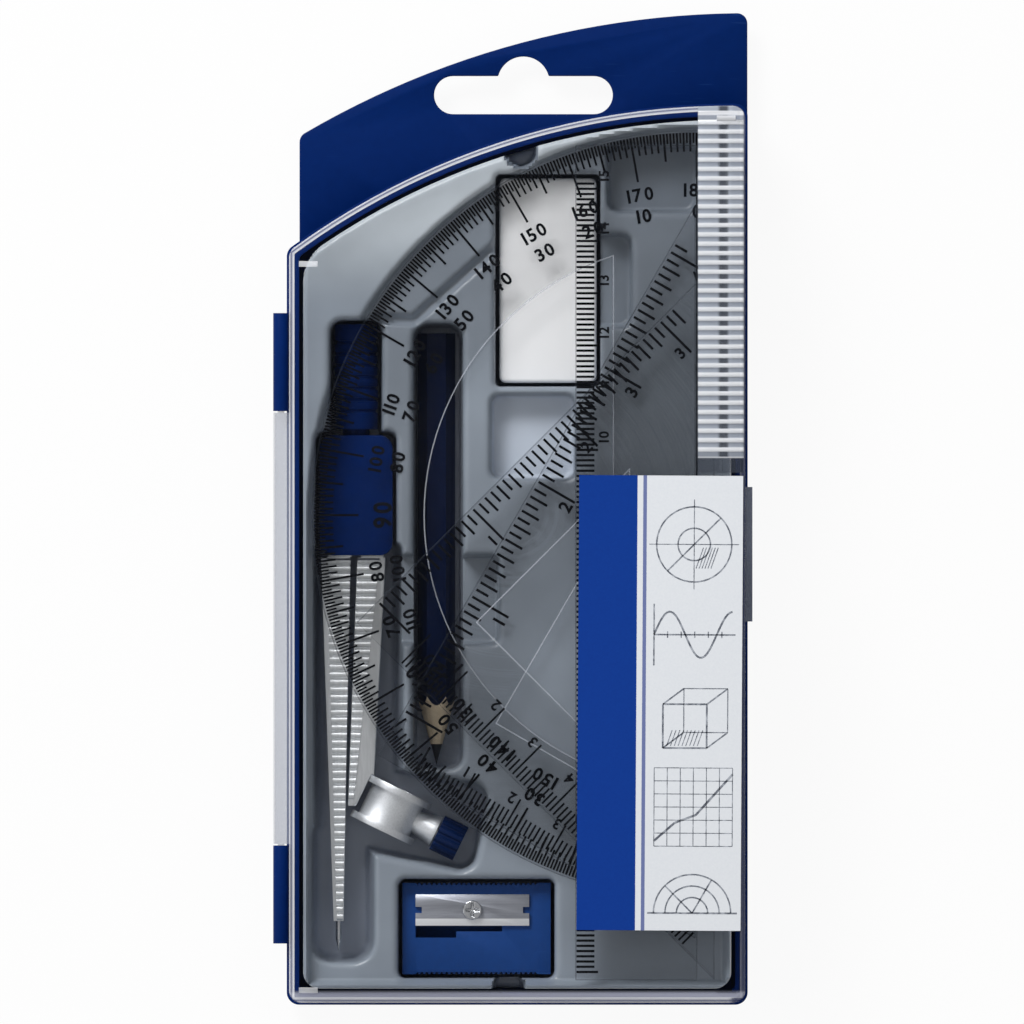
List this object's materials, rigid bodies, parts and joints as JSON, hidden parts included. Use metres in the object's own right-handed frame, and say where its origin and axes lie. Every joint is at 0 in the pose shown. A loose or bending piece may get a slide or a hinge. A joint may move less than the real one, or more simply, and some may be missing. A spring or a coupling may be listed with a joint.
{
  "type": "drafting instrument case",
  "caption": "Flat hinged case with a clear lid, hang tab and formed tray holding a compass, pencil, eraser, sharpener, ruler, set squares and protractor.",
  "frame": {"origin": "middle of the base's back face, between the side walls and between the bottom wall and the top of the arched top wall", "axes": "+X towards the latch side, +Y towards the hang tab, +Z from the back towards the clear lid"},
  "size_m": [0.0919, 0.1903, 0.027],
  "materials": {
    "case_blue": "smooth navy moulding",
    "case_clear": "clear, polished",
    "label_paper": "printed, satin",
    "tray_grey": "formed grey sheet, satin",
    "plate_clear": "clear with dark scales",
    "compass_blue": "navy moulding",
    "leg_metal": "plated casting, ribbed",
    "steel": "bright",
    "pencil_wood": "navy paint, bare wood at the point",
    "graphite": "graphite",
    "eraser_white": "matt",
    "sharpener_blue": "moulded, ribbed edge"
  },
  "bodies": {
    "case_base": {"base_shell": "case_blue", "instrument_tray": "tray_grey", "protractor": "plate_clear", "set_square_60": "plate_clear", "set_square_45": "plate_clear", "ruler": "plate_clear", "compass_handle": "compass_blue", "compass_head_cover": "compass_blue", "compass_pivot_pins": "steel", "pencil_casing": "pencil_wood", "pencil_lead": "graphite", "eraser_block": "eraser_white", "sharpener_body": "sharpener_blue", "sharpener_blade": "steel", "sharpener_screw": "steel"},
    "case_lid": {"lid_shell": "case_clear", "front_label": "label_paper"},
    "sliding_tab": {"hang_tab": "case_blue"},
    "needle_side": {"compass_needle_leg": "leg_metal", "compass_needle": "steel"},
    "pencil_side": {"compass_lead_leg": "leg_metal", "compass_pencil_clamp": "leg_metal"},
    "clamp_screw": {"clamp_screw_shank": "steel", "clamp_screw_knob": "compass_blue"}
  },
  "joints": [
    {"name": "lid_hinge", "type": "hinge", "parent": "case_base", "child": "case_lid", "pos_m": [-0.0453, -0.0142, 0.0125], "axis": [0, -1, 0], "range_deg": [0, 180]},
    {"name": "hang_tab_slide", "type": "slide", "parent": "case_base", "child": "sliding_tab", "axis": [0, -1, 0], "range_m": [0, 0.0175]},
    {"name": "pencil_leg_pivot", "type": "hinge", "parent": "case_base", "child": "pencil_side", "pos_m": [-0.0278, 0.01129, 0.0112], "axis": [0, 0, 1], "range_deg": [0, 2]},
    {"name": "needle_leg_pivot", "type": "hinge", "parent": "case_base", "child": "needle_side", "pos_m": [-0.034, 0.01129, 0.0112], "axis": [0, 0, -1], "range_deg": [0, 2]},
    {"name": "clamp_screw_turn", "type": "hinge", "parent": "pencil_side", "child": "clamp_screw", "pos_m": [-0.02424, -0.04901, 0.0112], "axis": [0.8988, -0.4384, 0], "continuous": true}
  ],
  "couplings": [
    {"joint": "needle_leg_pivot", "follows": "pencil_leg_pivot", "ratio": 1}
  ]
}
